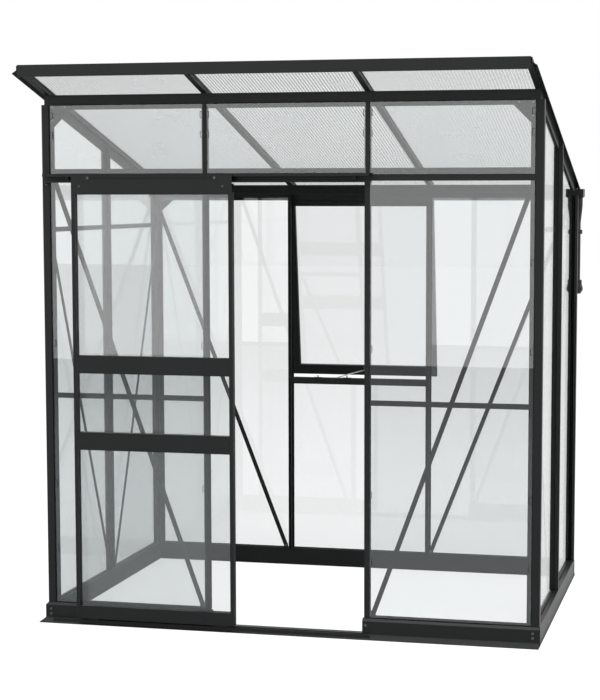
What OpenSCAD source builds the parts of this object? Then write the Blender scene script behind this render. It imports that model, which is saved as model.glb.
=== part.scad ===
/* [House] */
// Width of one glazing bay between bar centres
bay_w = 620; // [600:5:700]
// Depth of one glazing bay between bar centres
bay_d = 620; // [580:5:660]
// Height of the head beam's front edge above the ground
wall_h = 2023; // [2000:1:2100]
// Fall of the roof towards the back, in degrees
roof_fall = 14.6; // [12:0.1:15.5]
// Distance that the roof runs out in front of the wall
front_overhang = 265; // [120:5:320]
// Distance that the roof runs out behind the wall
rear_overhang = 57; // [45:1:62]

/* [Profiles] */
// Wall thickness of the aluminium profiles
wall = 2; // [1.6:0.1:2.4]
// Outside width of a corner post
post_w = 30; // [28:1:34]
// Distance from the outer face of a wall to its line of bar centres
post_edge = 24; // [23:1:25]
// Radius of a corner post's outer edge
post_radius = 4; // [2:0.5:6]
// Depth of a glazing bar
bar_depth = 36; // [34:1:40]
// Width of a glazing bar's nose between two panes
nose_w = 8; // [6:0.5:9]
// Width of a glazing bar's flange behind the glass
flange_w = 26; // [22:1:28]
// Thickness of a glazing bar's web
web_t = 3; // [2:0.5:4]
// Width of a glazing bar's bolt channel
channel_w = 14; // [12:1:16]
// Height of a glazing bar's bolt channel
channel_h = 10; // [8:1:12]
// Width of the slot in a bolt channel
slot_w = 7; // [6:0.5:8]
// Width of the cap outside a glazing bar
cap_w = 16; // [14:1:20]
// Thickness of the cap outside a glazing bar
cap_t = 3; // [2:0.5:3.5]
// Depth of the caps outside the side walls' bars
side_cap = 17; // [15:1:18]
// Width of the ledges that panes lean on at posts and beams
ledge = 19; // [15:1:22]

/* [Glass] */
// Thickness of a wall pane
glass_t = 3; // [3:0.5:4]
// Thickness of the rubber seal round a pane
seal_t = 1; // [0.8:0.1:1.5]
// Width of the seal's lips over the edge of a pane
seal_lip = 2; // [1.5:0.5:4]

/* [Base] */
// Height of the base rails
base_h = 76; // [70:1:90]
// Reach of a base rail inwards from the face of the wall
base_in = 20; // [18:1:26]
// Reach of a base rail outwards from the face of the wall
base_out = 8; // [7:0.5:9]
// Reach of the drip skirt outwards from the face of the wall
skirt_out = 28; // [26:1:32]
// Height where the drip skirt meets the base rail
skirt_h = 18; // [14:1:19]
// Size of the bevel on a base rail's upper outer edge
base_bevel = 9; // [6:1:12]
// Height of the lowered rail in the door opening
sill_h = 22; // [21:0.5:26]
// Distance of the door opening's sides from the bar centres beside it
sill_gap = 15; // [14:1:30]
// Height of the glazing strip on the front base rail
strip_h = 12; // [8:1:16]

/* [Head and track] */
// Height of the head beam at its front face
head_h = 36; // [32:1:40]
// Distance of the door track's underside below the head beam's front edge
track_drop = 329; // [323:1:363]
// Height of the door track
track_h = 34; // [32:1:38]
// Reach of the door track in front of the wall
track_out = 32; // [31:0.5:34]
// Distance of the rolling bead in front of the wall
bead_y = 16; // [15.5:0.5:16.5]
// Radius of the rolling bead
bead_r = 2.5; // [2:0.1:2.8]
// Height of the transom over the right bay
transom_h = 24; // [22:1:28]
// Height of the hidden web between transom pane and lower pane
transom_web = 16; // [12:1:18]
// Underside of the middle rails in the outer front bays
mid_rail_z = 873; // [600:1:1200]
// Height of the middle rails in the outer front bays
mid_rail_h = 19; // [16:1:24]
// Share of the transom panes' height that the corner gussets take
gusset_share = 0.365; // [0.25:0.005:0.5]

/* [Side and rear walls] */
// Distance of the side rails' underside below the head beam's front edge
side_rail_drop = 515; // [463:1:723]
// Height of the rails behind the side panes
side_rail_h = 18; // [16:1:22]
// Depth of the middle rails behind the panes
rail_body = 16; // [12:1:20]
// Height of the window's sill rail
sill_rail_h = 30; // [26:1:36]
// Depth of the eave beam
eave_depth = 24; // [22:1:28]
// Height of the eave beam at its outer face
eave_h = 37.5; // [34:0.5:42]
// Depth of the eave beam's outer lip below the beam
eave_lip = 24; // [20:1:24]
// Width of a flat brace
brace_w = 18; // [14:1:22]
// Thickness of a flat brace
brace_t = 3; // [2:0.5:4]
// Distance of a front side brace's head below the head beam
brace_drop_front = 590; // [560:5:620]
// Distance of a rear side brace's head below the eave beam
brace_drop_rear = 85; // [60:1:120]
// Distance of a front side brace's foot from the middle bar
brace_foot_front = 56; // [40:1:120]

/* [Roof] */
// Width of a rafter
rafter_w = 22; // [20:1:26]
// Height of a rafter under the roof sheets
rafter_h = 14.5; // [12:0.5:18]
// Thickness of the twin-wall roof sheets
sheet_t = 6; // [6:1:10]
// Thickness of the skins and ribs of a roof sheet
sheet_skin = 0.7; // [0.5:0.1:1]
// Distance between two ribs of a roof sheet
flute_pitch = 12; // [8:1:16]
// Thickness of the cap strips over the rafters
roof_cap_t = 2.8; // [2:0.2:4]
// Width of the drip wings along the roof's sides
wing_w = 17; // [15:1:20]
// Fall of the drip wings from root to edge
wing_drop = 10.5; // [8:0.5:12]
// Lap of a side rafter's glazing stop over the side panes
stop_lap = 8; // [5:0.5:12]
// Distance of the side bars' caps under the plane of the rafters
cap_drop = 8; // [7:0.5:12]
// Height of the fascia's front face
fascia_h = 43; // [36:1:50]
// Distance of the fascia's ends inside the rafters' outer faces
fascia_inset = 5; // [3:1:10]

/* [Gutter and pipe] */
// Depth of the gutter behind the wall
gutter_d = 77; // [74:1:90]
// Height of the gutter
gutter_h = 35; // [30:1:38]
// Distance of the gutter's underside below the eave beam's underside
gutter_drop = 10; // [9:0.5:11]
// Radius of the gutter's lower outer edge
gutter_radius = 14; // [8:1:20]
// Distance that the gutter runs out past each side wall
gutter_end = 19; // [8:1:30]
// Outside diameter of the downpipe
pipe_d = 52; // [48:1:54]
// Wall thickness of the downpipe
pipe_t = 2; // [1.5:0.5:3]
// Length of the downpipe between its outlet and its socket
pipe_l = 224; // [150:1:600]
// Distance of the pipe's centre inside the right wall's outer face
pipe_x = 21; // [10:1:40]
// Distance of the pipe's centre behind the rear wall
pipe_y = 54; // [54:1:57]
// Height of the outlet between gutter and downpipe
outlet_h = 148; // [120:1:200]
// Offset of the outlet's top from the pipe's centre
outlet_shift = 9; // [0:1:14]
// Outside diameter of the pipe collars
collar_d = 67; // [60:1:72]
// Height of the pipe collars
collar_h = 18; // [12:1:24]
// Outside diameter of the pipe socket
socket_d = 76; // [70:1:84]
// Height of the pipe socket
socket_h = 41; // [40:1:60]
// Diameter of the bore in the pipe socket
socket_bore = 50.8; // [49:0.2:54]
// Depth of the bore in the pipe socket
bore_l = 30; // [20:1:32]

/* [Door] */
// Distance that the closed door runs past the bar centres beside it
door_lap = 5; // [1:1:10]
// Thickness of the door
door_t = 28; // [26:1:30]
// Gap between the door and the face of the wall
door_gap = 12; // [11:0.5:14]
// Gap between the door and the ground
door_lift = 28; // [26:1:36]
// Distance that the door stands open
door_open = 508; // [0:1:508]
// Width of a door stile
stile_w = 15; // [13:1:20]
// Height of the door's bottom rail
door_foot = 50; // [40:1:70]
// Height of the door's middle rails
door_rail_h = 68; // [50:1:80]
// Underside of the lower middle rail
door_rail_low = 681; // [500:1:800]
// Underside of the upper middle rail
door_rail_high = 974; // [900:1:1200]
// Height of the door's top rail
door_head = 41; // [34:1:48]
// Thickness of the hanger plate
hanger_t = 3; // [2:0.5:4]
// Height of the hanger plate
hanger_h = 75; // [70:1:76]
// Distance of a roller's centre from the door's edge
roller_in = 67; // [40:1:100]
// Width of a roller
roller_w = 12; // [10:0.5:13]
// Radius of a roller's flanges
roller_r = 13.2; // [12.5:0.1:13.6]
// Height of a roller's centre over the track's underside
roller_z = 17; // [16.6:0.1:17.2]
// Diameter of a roller's axle
axle_d = 6; // [5:0.5:7]
// Running clearance at the bead and in the glides
run_gap = 0.3; // [0.2:0.05:0.5]

/* [Window] */
// Distance that the window runs past the bar centres beside it
window_side = 16; // [10:1:20]
// Height of the window below its hinge
window_h = 790; // [700:1:790]
// Overlap of the window over its sill rail
window_lap = 3; // [1:1:6]
// Thickness of the window frame
window_t = 20; // [18:1:24]
// Angle at which the window stands open
window_open = 7.5; // [0:0.5:12]
// Largest opening angle of the window
window_max = 40; // [20:1:44]
// Width of the window's stiles
window_stile = 30; // [24:1:36]
// Height of the window's top rail
window_top_h = 22; // [18:1:30]
// Height of the window's bottom rail
window_foot = 43; // [36:1:50]
// Radius of the hinge bead
hinge_r = 3.9; // [3.5:0.1:4]
// Length of the stay arm from its pivot to its tip
stay_l = 199; // [170:1:205]
// Width of the stay arm
stay_w = 10; // [8:0.5:12]
// Angle between the stay arm and the window
stay_turn = 30; // [20:1:40]
// Height of the stay pegs
peg_h = 10; // [6:0.5:10]
// Distance between the two stay pegs
peg_pitch = 132; // [80:1:160]

/* [Hidden] */

$fn = 48;
black = "#1d1f20";
cap_black = "#26292a";
rubber = "#0f1011";
clear = "#dfe7ea";
steel = "#b9bcbe";
nylon = "#2b2c2e";
cut = 100; // how far a cutting body runs past what it cuts

// The house: walls face outwards at d = 0 and d grows inwards
half_w = 1.5 * bay_w + post_edge;
depth = 2 * bay_d + 2 * post_edge;
front_lines = [for (i = [0:3]) (i - 1.5) * bay_w];
side_lines = [for (i = [0:2]) post_edge + i * bay_d];
flange_d = flange_at(cap_t);
body_d = flange_d + wall;
side_flange_d = flange_at(side_cap);
side_body_d = side_flange_d + wall;
side_rail_in = bar_depth - 1;

// How far rails reach to a post or a bar at the panes, the ledges and the bodies
post_reach = [post_w - post_edge, post_w - post_edge + ledge, post_w - post_edge];
bar_reach = [cap_w / 2, flange_w / 2, channel_w / 2];

head_z = wall_h - head_h;
eave_z = roof_z(depth) - eave_h;
gutter_z = eave_z - gutter_drop;
track_z = wall_h - track_drop;
transom_z = track_z + track_h / 2;
transom_ledge = track_z + track_h + ledge - 1;
gusset_leg = ledge + gusset_share * (head_z - ledge - transom_ledge);
side_rail_z = wall_h - side_rail_drop;
side_top = head_h - tan(roof_fall) * post_w + 1; // the side panes pass under the head beam
base_slope = (skirt_h - wall) / (skirt_out - base_out);
skirt_leg = wall * sqrt(1 + pow(base_slope, 2));

// The tilted roof frame: n is the height over the rafters' underside
sheet_n = rafter_h + sheet_t;
roof_n = sheet_n + roof_cap_t;
rafter_side = 1.5 * bay_w + rafter_w / 2;
sheet_gap = 1;
lip = 10; // width of small lips and returns

// Door, track and rollers
door_w = bay_w + 2 * door_lap;
door_y = -door_gap - door_t;
door_x = -door_w / 2 - door_open;
door_clear = 4; // gap between the door's top rail and the track
door_top = track_z - door_clear;
hanger_z = door_top - door_head;
roller_h = track_z + roller_z;
bead_base = 3; // height of the flange that carries the bead
bead_h = track_z + bead_base;
lip_gap = 2; // gap between the axles and the track's front lip
bead_gap_r = bead_r + run_gap;
roller_xs = [door_x + roller_in, door_x + door_w - roller_in];
track_end = front_lines[2] + flange_w / 2;
stop_in = 42; // how much shorter the door's travel is than a bay
door_travel = bay_w - stop_in; // from closed to the left stop
stop_t = 10;
groove = 5; // depth of the grooves that hold the door and window panes
sill_w = bay_w - 2 * sill_gap;
rib_y = 22; // the rib that guides the door's foot
rib_t = 2;
rib_h = 20;
glide_l = 40;
glide_in = 30;
bore_gap = 0.05;

// Window, hinge and stay
hinge_out = 6.5;
hinge_y = depth + hinge_out;
hinge_drop = 18;
hinge_z = eave_z - hinge_drop;
hinge_gap = 0.1;
hinge_foot = 4; // height of the hinge channel's foot below its axis
hinge_mouth = 26; // angle between the window's neck and the channel's lips
neck_h = 9;
neck_t = 2.5;
window_w = bay_w + 2 * window_side;
window_in = 5;
sill_rail_z = hinge_z - window_h + window_lap - sill_rail_h;
pivot = [12, -14, 28 - window_h];
stay_t = 2;
pin_r = 2.5;
stay_holes = [0.427, 0.663, 0.864]; // places of the arm's holes along it
peg_y = 18;
peg_x = -54;

// Depth of the flange behind panes that lie under caps of this depth
function flange_at(cap) = cap + glass_t + 2 * seal_t;

// Height of the rafters' underside at distance y behind the front face
function roof_z(y) = wall_h - tan(roof_fall) * y;

// Is line i of the lines the place of a corner post, and how far it reaches
function reach(lines, i, layer) = i == 0 || i == len(lines) - 1 ? post_reach[layer] : bar_reach[layer];
function span(lines, i, layer) =
    [lines[i] + reach(lines, i, layer), lines[i + 1] - reach(lines, i + 1, layer)];

// Edges of the pane space in bay i, from post or nose to post or nose
function pane_edge(lines, i) = i == 0 || i == len(lines) - 1 ? post_reach[0] : nose_w / 2;
function bay(lines, i) = [lines[i] + pane_edge(lines, i), lines[i + 1] - pane_edge(lines, i + 1)];

// Outline of a pane space [u0, u1, bottom, top at u0, top at u1] drawn in by s
function outline(p, s) =
    let (slope = (p[4] - p[3]) / (p[1] - p[0]), sink = s * sqrt(1 + pow(slope, 2)))
    [[p[0] + s, p[2] + s], [p[1] - s, p[2] + s],
     [p[1] - s, p[4] - slope * s - sink], [p[0] + s, p[3] + slope * s - sink]];
function flat_pane(lines, i, z0, z1) = [bay(lines, i)[0], bay(lines, i)[1], z0, z1, z1];
function roof_pane(lines, i, z0) =
    [bay(lines, i)[0], bay(lines, i)[1], z0,
     roof_z(bay(lines, i)[0]) - side_top, roof_z(bay(lines, i)[1]) - side_top];

// Where each wall's pane spaces lie
transom_panes = [for (i = [0:2]) flat_pane(front_lines, i, transom_z + transom_web / 2, head_z)];
front_panes = [for (i = [0, 2]) flat_pane(front_lines, i, base_h, transom_z - transom_web / 2)];
sill_pane_top = sill_rail_z + 8;
rear_panes = [for (i = [0:2]) flat_pane(front_lines, i, base_h, i == 1 ? sill_pane_top : eave_z)];
side_panes = [for (i = [0:1]) roof_pane(side_lines, i, base_h)];

// Placing a wall whose u runs along it and whose d runs inwards
module rear_wall() { translate([0, depth, 0]) mirror([0, 1, 0]) children(); }
module left_wall() { translate([-half_w, 0, 0]) mirror([1, -1, 0]) children(); }
module right_wall() { mirror([1, 0, 0]) left_wall() children(); }
module both_sides() {
    left_wall() children();
    right_wall() children();
}

// Extrusions: upwards, along a wall, and through a wall
module upright(z0, z1) { translate([0, 0, z0]) linear_extrude(z1 - z0) children(); }
module along(ends) {
    translate([ends[0], 0, 0]) rotate([90, 0, 90]) linear_extrude(ends[1] - ends[0]) children();
}
module plate(d0, d1) { translate([0, d1, 0]) rotate([90, 0, 0]) linear_extrude(d1 - d0) children(); }
module box(a, b) { translate(a) square(b - a); }

// Base rails, drawn with x outwards from the face of the wall
module base_section(inner) {
    difference() {
        polygon([[-inner, 0], [skirt_out, 0], [skirt_out, wall], [base_out, skirt_h],
            [base_out, base_h - base_bevel], [0, base_h], [-inner, base_h]]);
        polygon([[wall - inner, wall], [base_out - wall, wall],
            [base_out - wall, base_h - base_bevel - wall], [-wall / 2, base_h - wall],
            [wall - inner, base_h - wall]]);
        polygon([[base_out, wall], [skirt_out - skirt_leg / base_slope, wall],
            [base_out, skirt_h - skirt_leg]]);
    }
}
module base_run(ends, inner) { along(ends) mirror([1, 0]) base_section(inner); }
mitre_reach = 3 * skirt_out;
module mitre(side) {
    translate([-half_w, 0, -1]) linear_extrude(base_h + 2)
        polygon([[-mitre_reach, -mitre_reach], [mitre_reach, mitre_reach], side * mitre_reach]);
}
module base_front() {
    color(black) difference() {
        union() {
            difference() {
                base_run([-half_w - skirt_out, half_w], base_in);
                mitre([-1, 1]);
            }
            along([-half_w + skirt_out, track_end])
                box([-rib_y - rib_t / 2, wall], [-rib_y + rib_t / 2, rib_h]);
            for (i = [0, 2]) along(span(front_lines, i, 1))
                box([flange_d, base_h - wall], [body_d, base_h + strip_h]);
        }
        translate([-sill_w / 2, -cut, sill_h - wall]) cube([sill_w, 2 * cut, cut]);
    }
}
module door_sill() {
    color(black) {
        along([-sill_w / 2, sill_w / 2]) box([-base_out, sill_h - wall], [base_in, sill_h]);
        for (s = [-1, 1]) along(s < 0 ? [-sill_w / 2, wall - sill_w / 2] : [sill_w / 2 - wall, sill_w / 2])
            mirror([1, 0]) polygon([[-base_in, sill_h], [base_out, sill_h],
                [base_out, base_h - base_bevel], [0, base_h], [-base_in, base_h]]);
    }
}
module base_rear() {
    color(black) translate([0, depth, 0]) mirror([0, 1, 0]) difference() {
        base_run([-half_w - skirt_out, half_w], base_in);
        mitre([-1, 1]);
    }
}
module base_left() {
    color(black) difference() {
        left_wall() base_run([-skirt_out, depth + skirt_out], post_w);
        mitre([1, -1]);
        translate([0, depth, 0]) mirror([0, 1, 0]) mitre([1, -1]);
    }
}
module base_right() {
    color(black) right_wall() along([base_in, depth - base_in]) difference() {
        box([0, 0], [post_w, base_h]);
        box([wall, wall], [post_w - wall, base_h - wall]);
    }
}

// Corner posts, drawn from their outer corner
module post_section() {
    mid = post_w / 2;
    difference() {
        box([0, 0], [post_w, post_w]);
        difference() {
            box([-1, -1], [post_radius, post_radius]);
            translate([post_radius, post_radius]) circle(post_radius);
        }
        box([wall, wall], [post_w - wall, post_w - wall]);
        box([mid - slot_w / 2, post_w - 2 * wall], [mid + slot_w / 2, post_w + 1]);
        box([post_w - 2 * wall, mid - slot_w / 2], [post_w + 1, mid + slot_w / 2]);
    }
    polygon([[wall / 2, 3 * wall / 2], [3 * wall / 2, wall / 2],
        [post_w - wall / 2, post_w - 3 * wall / 2], [post_w - 3 * wall / 2, post_w - wall / 2]]);
    box([post_w - wall / 2, flange_d], [post_w + ledge, body_d]);
    box([side_flange_d, post_w - wall / 2], [side_body_d, post_w + ledge]);
}
module post(z1) { color(black) translate([-half_w, 0, 0]) upright(base_h, z1) post_section(); }
module post_front_left() { post(head_z); }
module post_front_right() { mirror([1, 0, 0]) post(head_z); }
module post_rear_left() { rear_wall() post(eave_z); }
module post_rear_right() { mirror([1, 0, 0]) rear_wall() post(eave_z); }

// Glazing bars: nose, flange, web and bolt channel
module bar_section(cap) {
    top = bar_depth - channel_h;
    flange = flange_at(cap);
    box([-nose_w / 2, cap], [nose_w / 2, flange + wall / 2]);
    box([-flange_w / 2, flange], [flange_w / 2, flange + wall]);
    box([-web_t / 2, flange + wall / 2], [web_t / 2, top + wall / 2]);
    difference() {
        box([-channel_w / 2, top], [channel_w / 2, bar_depth]);
        box([wall - channel_w / 2, top + wall], [channel_w / 2 - wall, bar_depth - wall]);
        box([-slot_w / 2, top + wall], [slot_w / 2, bar_depth + 1]);
    }
}
module bar(u, z1, cap = cap_t) { color(black) translate([u, 0, 0]) upright(base_h, z1) bar_section(cap); }
module bar_front_left() { bar(front_lines[1], head_z); }
module bar_front_right() { bar(front_lines[2], head_z); }
module bars_rear() { rear_wall() for (i = [1, 2]) bar(front_lines[i], eave_z); }

// Space under the roof plane in a side wall, from depth d0 to d1
module under_roof(d0, d1, drop) {
    plate(d0, d1) polygon([[0, 0], [depth, 0], [depth, roof_z(depth) - drop], [0, roof_z(0) - drop]]);
}
module bar_side() {
    intersection() {
        bar(side_lines[1], wall_h, side_cap);
        under_roof(0, bar_depth + 1, 0);
    }
}
module bar_side_left() { left_wall() bar_side(); }
module bar_side_right() { right_wall() bar_side(); }

// Head beam: a channel open to the inside, closed at its ends
module head_section(solid) {
    top = wall / cos(roof_fall);
    difference() {
        polygon([[0, head_z], [bar_depth, head_z], [bar_depth, roof_z(bar_depth)], [0, roof_z(0)]]);
        if (!solid) {
            polygon([[wall, head_z + wall], [bar_depth - wall, head_z + wall],
                [bar_depth - wall, roof_z(bar_depth - wall) - top], [wall, roof_z(wall) - top]]);
            box([bar_depth - 2 * wall, head_z + lip], [bar_depth + 1, roof_z(bar_depth) - lip]);
        }
    }
}
module head_beam() {
    color(black) {
        along([-rafter_side, rafter_side]) head_section(false);
        along([-rafter_side, wall - rafter_side]) head_section(true);
        along([rafter_side - wall, rafter_side]) head_section(true);
        for (i = [0:2]) along(span(front_lines, i, 1))
            box([flange_d, head_z - ledge], [body_d, head_z + wall / 2]);
    }
}

// Hidden inner part of a rail in three layers: at the panes, the ledge and the body
module rail_layers(lines, i, z, web, low, high) {
    along(span(lines, i, 0)) box([0, z - web / 2], [flange_d, z + web / 2]);
    along(span(lines, i, 1)) box([flange_d, low], [body_d, high]);
}
module rail_tray(lines, i, z0, z1, d0, d1) {
    along(span(lines, i, 2)) difference() {
        box([d0, z0], [d1, z1]);
        box([d0 + wall, z0 + wall], [d1 - wall, z1 + 1]);
    }
}

// Door track: a hanging channel with a rolling bead, and the transom web behind it
module track_section() {
    top = track_z + track_h;
    box([-track_out, top - wall], [0, top]);
    box([-track_out, roller_h + axle_d / 2 + lip_gap], [wall - track_out, top]);
    box([-wall, track_z], [0, top]);
    box([-bead_y - axle_d, track_z], [0, bead_h]);
    intersection() {
        translate([-bead_y, bead_h]) circle(bead_r);
        box([-track_out, bead_h - wall], [0, top]);
    }
}
module transom_body(i) {
    rail_layers(front_lines, i, transom_z, transom_web, transom_z - transom_web / 2, transom_ledge);
    rail_tray(front_lines, i, transom_z - transom_web / 2 - wall, transom_z + transom_web / 2 + wall,
        body_d, bar_depth);
}
module door_track() {
    color(black) {
        along([-rafter_side, track_end]) track_section();
        for (i = [0, 1]) transom_body(i);
    }
}
module track_stops() {
    far = door_w / 2 - roller_in + roller_r + run_gap;
    color(nylon) for (x = [-far - door_travel - stop_t, far]) along([x, x + stop_t])
        box([-bead_y - 8, roller_h - 5], [8 - bead_y, track_z + track_h - wall]);
}
module transom() {
    color(black) {
        transom_body(2);
        along(span(front_lines, 2, 0))
            box([0, transom_z - transom_h / 2], [cap_t, transom_z + transom_h / 2]);
    }
}
module mid_rails() {
    color(black) for (i = [0, 2])
        rail_tray(front_lines, i, mid_rail_z, mid_rail_z + mid_rail_h, body_d, body_d + rail_body);
}
module side_rails() {
    color(black) both_sides() for (i = [0, 1])
        rail_tray(side_lines, i, side_rail_z, side_rail_z + side_rail_h, side_body_d, side_rail_in);
}

// Sill rail under the window, closed over the lower rear pane
module sill_rail() {
    top = sill_rail_z + sill_rail_h;
    color(black) rear_wall() {
        along(span(front_lines, 1, 1)) difference() {
            box([0, sill_rail_z], [body_d, top]);
            box([cap_t, sill_rail_z - 1], [flange_d, sill_pane_top]);
            box([wall, sill_pane_top + wall], [body_d + 1, top - wall]);
        }
        along(span(front_lines, 1, 2)) difference() {
            box([body_d, sill_pane_top], [bar_depth, top]);
            box([body_d - 1, sill_pane_top + wall], [bar_depth - wall, top - wall]);
        }
    }
}
module stay_pegs() {
    top = sill_rail_z + sill_rail_h;
    color(black) rear_wall() for (x = [peg_x, peg_x - peg_pitch]) translate([x, peg_y, top]) {
        translate([-19, -6, 0]) cube([38, 12, 2]);
        cylinder(h = peg_h, r = pin_r);
    }
}

// Eave beam with the lip over the rear panes
module eave_section(solid) {
    top = wall / cos(roof_fall);
    z = function (d) roof_z(depth - d);
    difference() {
        polygon([[0, eave_z], [eave_depth, eave_z], [eave_depth, z(eave_depth)], [0, z(0)]]);
        if (!solid) {
            polygon([[wall, eave_z + wall], [eave_depth - wall, eave_z + wall],
                [eave_depth - wall, z(eave_depth - wall) - top], [wall, z(wall) - top]]);
            box([eave_depth - 2 * wall, eave_z + lip], [eave_depth + 1, z(eave_depth) - lip]);
        }
    }
}
module eave_beam() {
    color(black) rear_wall() {
        along([-rafter_side, rafter_side]) eave_section(false);
        along([-rafter_side, wall - rafter_side]) eave_section(true);
        along([rafter_side - wall, rafter_side]) eave_section(true);
        along([post_w - half_w, half_w - post_w]) box([0, eave_z - eave_lip], [wall, eave_z + wall / 2]);
        for (i = [0:2]) along(span(front_lines, i, 1))
            box([flange_d, eave_z - 13], [body_d, eave_z + wall / 2]);
    }
}

// Hinge channel: a split tube that holds the window's bead
module hinge_channel() {
    far = 3 * hinge_out;
    inner = hinge_r + hinge_gap;
    from = -90 - hinge_mouth;
    to = window_max - 90 + hinge_mouth;
    color(black) along([-window_w / 2, window_w / 2]) difference() {
        union() {
            translate([hinge_y, hinge_z]) circle(hinge_out);
            box([depth, hinge_z - hinge_foot], [hinge_y, hinge_z + hinge_out]);
        }
        translate([hinge_y, hinge_z]) {
            circle(inner);
            polygon([[0, 0], [far * cos(from), far * sin(from)],
                [far * cos((from + to) / 2), far * sin((from + to) / 2)], [far * cos(to), far * sin(to)]]);
        }
    }
}

// Corner gussets on the back of the ledges under the head beam
module gussets() {
    color(black) for (s = [0, 1]) mirror([s, 0, 0]) plate(body_d, body_d + wall)
        translate([-half_w + post_w + 1, head_z - 1])
            polygon([[0, 0], [gusset_leg, 0], [0, -gusset_leg]]);
}

// Flat braces from [u, z] to [u, z], lying on the inner faces of the bars
module strap(a, b) {
    run = b - a;
    color(black) translate([a[0], bar_depth + brace_t, a[1]])
        rotate([90, -atan2(run[1], run[0]), 0]) linear_extrude(brace_t) {
            box([0, -brace_w / 2], [norm(run), brace_w / 2]);
            circle(brace_w / 2);
            translate([norm(run), 0]) circle(brace_w / 2);
        }
}
foot_z = base_h + 14;
foot_gap = channel_w / 2 + brace_w / 2 + 1;
brace_front = [[1.5 * bay_w - 10, transom_z - 1], [front_lines[2] + foot_gap, foot_z]];
brace_front_left = [[10 - 1.5 * bay_w, transom_z - 1], [front_lines[1] - foot_gap - 14, foot_z]];
brace_rear = [[half_w - post_w - 4, eave_z - 38], [front_lines[2] + foot_gap + 2, foot_z]];
brace_side = [
    [[post_w + 2, head_z - brace_drop_front], [side_lines[1] - brace_foot_front, foot_z]],
    [[depth - post_w + 4, eave_z - brace_drop_rear], [side_lines[1], foot_z]]];
module braces_front() {
    strap(brace_front_left[0], brace_front_left[1]);
    strap(brace_front[0], brace_front[1]);
}
module braces_rear() {
    rear_wall() for (s = [0, 1]) mirror([s, 0, 0]) strap(brace_rear[0], brace_rear[1]);
}
module braces_side() { both_sides() for (b = brace_side) strap(b[0], b[1]); }

// Angles that hold the braces' feet and pads that carry their heads at the posts
module brace_foot(u, d0 = body_d) {
    along([u - brace_w / 2, u + brace_w / 2]) {
        box([d0 + 1, base_h], [bar_depth, base_h + wall]);
        box([bar_depth - wall, base_h], [bar_depth, foot_z + brace_w / 2]);
    }
}
module brace_pad(u0, u1, z) {
    translate([u0, post_w, z - brace_w / 2]) cube([u1 - u0, bar_depth - post_w, brace_w]);
}
module brace_feet() {
    color(black) {
        brace_foot(brace_front_left[1][0]);
        brace_foot(brace_front[1][0]);
        rear_wall() for (s = [0, 1]) mirror([s, 0, 0]) {
            brace_foot(brace_rear[1][0]);
            brace_pad(half_w - post_w, half_w - side_body_d, brace_rear[0][1]);
        }
        both_sides() {
            brace_foot(brace_side[0][1][0], side_body_d);
            brace_pad(post_w - 8, post_w, brace_side[0][0][1]);
            brace_pad(depth - post_w, depth - post_w + 10, brace_side[1][0][1]);
        }
    }
}

// Caps that clamp the panes onto the bars
module cap_section(deep) {
    bevel = cap_t / 2;
    difference() {
        polygon([[-cap_w / 2, deep], [-cap_w / 2, bevel], [bevel - cap_w / 2, 0],
            [cap_w / 2 - bevel, 0], [cap_w / 2, bevel], [cap_w / 2, deep]]);
        if (deep > cap_t) box([wall - cap_w / 2, cap_t], [cap_w / 2 - wall, deep - wall]);
    }
}
module bar_cap(u, z1, deep = cap_t) { translate([u, 0, 0]) upright(base_h, z1) cap_section(deep); }
module bar_caps() {
    color(cap_black) {
        for (i = [1, 2]) {
            bar_cap(front_lines[i], head_z);
            rear_wall() bar_cap(front_lines[i], eave_z - eave_lip);
        }
        both_sides() intersection() {
            bar_cap(side_lines[1], wall_h, side_cap);
            under_roof(-1, side_cap + 1, cap_drop);
        }
    }
}

// Panes and the rubber seals round them
module pane(p, cap = cap_t) {
    plate(cap + seal_t, cap + seal_t + glass_t) polygon(outline(p, seal_t));
}
module seal(p, cap = cap_t) {
    difference() {
        plate(cap, flange_at(cap)) polygon(outline(p, 0));
        pane(p, cap);
        plate(cap - 1, flange_at(cap) + 1) polygon(outline(p, seal_t + seal_lip));
    }
}
module seals() {
    color(rubber) {
        for (p = concat(transom_panes, front_panes)) seal(p);
        rear_wall() for (p = rear_panes) seal(p);
        both_sides() for (p = side_panes) seal(p, side_cap);
    }
}
module glass_transom() { color(clear) for (p = transom_panes) pane(p); }
module glass_front() { color(clear) for (p = front_panes) pane(p); }
module glass_side_left() { color(clear) left_wall() for (p = side_panes) pane(p, side_cap); }
module glass_side_right() { color(clear) right_wall() for (p = side_panes) pane(p, side_cap); }
module glass_rear() { color(clear) rear_wall() for (p = rear_panes) pane(p); }

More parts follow.
